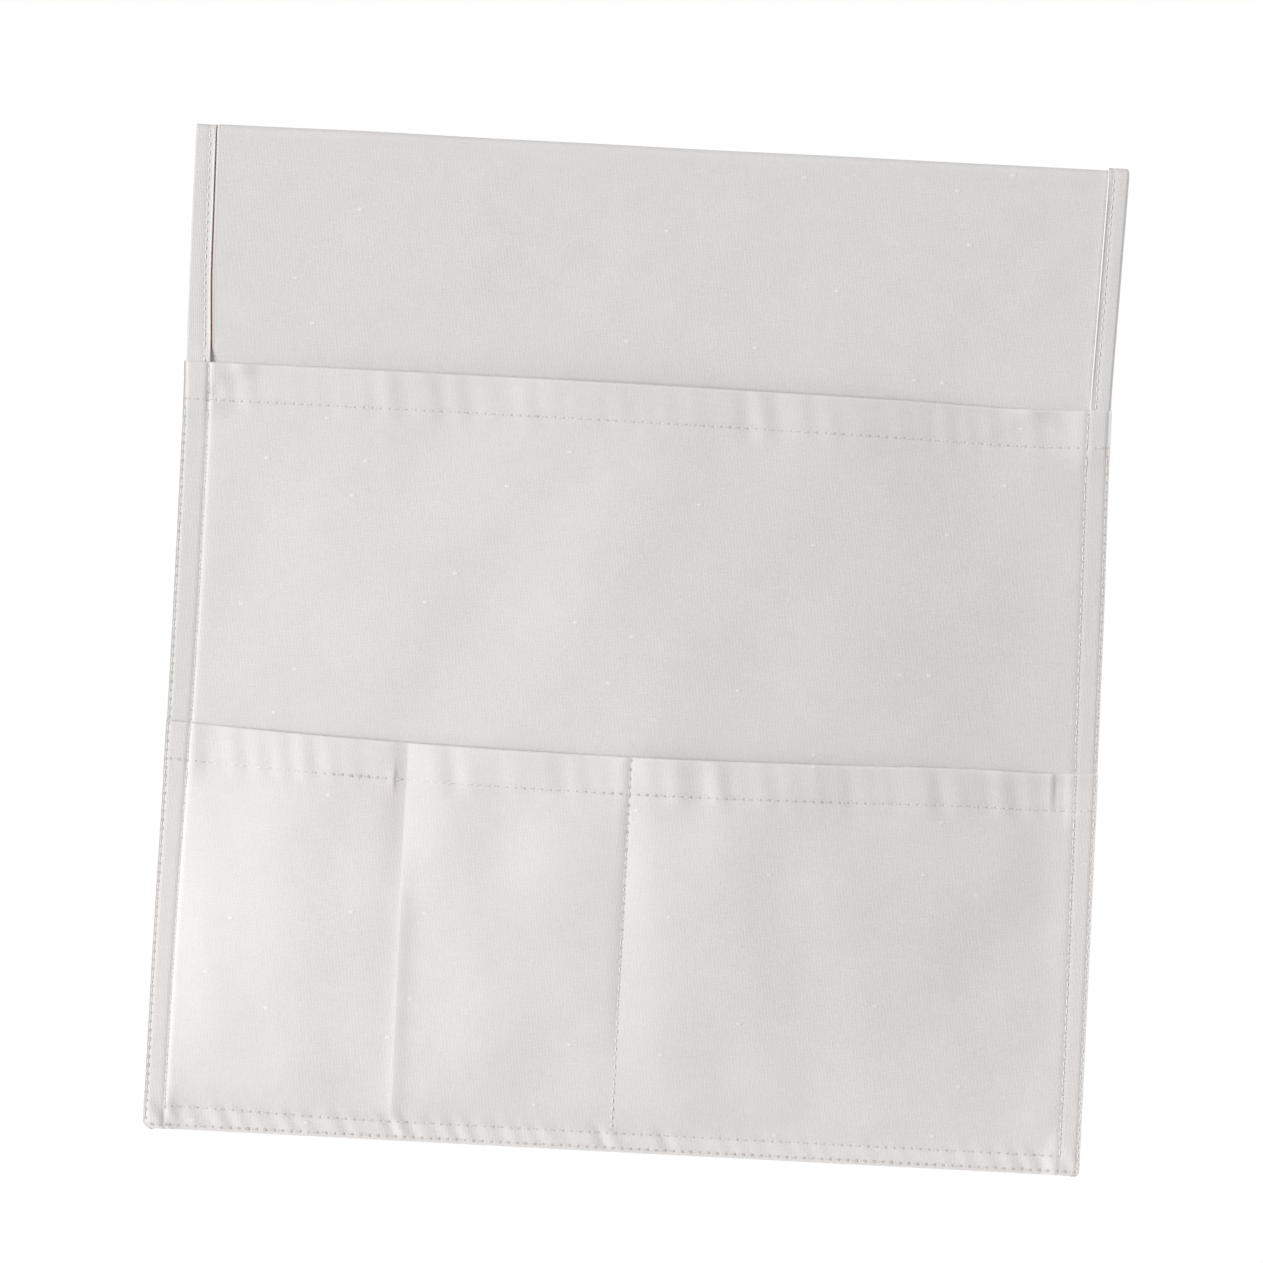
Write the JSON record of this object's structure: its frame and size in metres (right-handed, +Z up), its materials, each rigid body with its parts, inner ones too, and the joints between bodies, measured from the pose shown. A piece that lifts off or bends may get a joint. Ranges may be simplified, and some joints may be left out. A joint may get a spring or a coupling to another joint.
{
  "type": "armrest organizer",
  "caption": "Canvas strip that hangs over a sofa arm, with a wide pocket and a sewn row of smaller pockets on its front flap and a plain tail behind.",
  "frame": {"origin": "middle of the underside of the length that lies on top of the arm", "axes": "+Z up; X along the arm, from left to right as the pockets are seen; the pockets face -Y"},
  "size_m": [0.34, 0.2202, 0.3671],
  "materials": {
    "canvas": "matt plain-weave canvas",
    "thread": "matt twisted sewing thread"
  },
  "bodies": {
    "saddle": {"arm_panel": "canvas", "arm_hem_left_needle_thread": "thread", "arm_hem_left_bobbin_thread": "thread", "arm_hem_right_needle_thread": "thread", "arm_hem_right_bobbin_thread": "thread"},
    "pocket_flap": {"front_panel": "canvas", "wide_pocket": "canvas", "lower_pockets": "canvas", "flap_hem_left_needle_thread": "thread", "flap_hem_left_bobbin_thread": "thread", "flap_hem_right_needle_thread": "thread", "flap_hem_right_bobbin_thread": "thread", "pocket_inner_seam_needle_thread": "thread", "pocket_inner_seam_bobbin_thread": "thread", "pocket_outer_seam_needle_thread": "thread", "pocket_outer_seam_bobbin_thread": "thread", "wide_mouth_needle_thread": "thread", "wide_mouth_bobbin_thread": "thread", "lower_mouth_needle_thread": "thread", "lower_mouth_left_bobbin_thread": "thread", "lower_mouth_middle_bobbin_thread": "thread", "lower_mouth_right_bobbin_thread": "thread", "first_divider_needle_thread": "thread", "first_divider_bobbin_thread": "thread", "second_divider_needle_thread": "thread", "second_divider_bobbin_thread": "thread"},
    "tail": {"tail_panel": "canvas", "tail_hem_left_needle_thread": "thread", "tail_hem_left_bobbin_thread": "thread", "tail_hem_right_needle_thread": "thread", "tail_hem_right_bobbin_thread": "thread", "tail_end_needle_thread": "thread", "tail_end_bobbin_thread": "thread"}
  },
  "joints": [
    {"name": "front_fold", "type": "hinge", "parent": "saddle", "child": "pocket_flap", "pos_m": [0, -0.09959, -0.00041], "axis": [-1, 0, 0], "range_deg": [0, 90]},
    {"name": "tail_fold", "type": "hinge", "parent": "saddle", "child": "tail", "pos_m": [0, 0.09959, -0.00041], "axis": [1, 0, 0], "range_deg": [0, 90]}
  ]
}
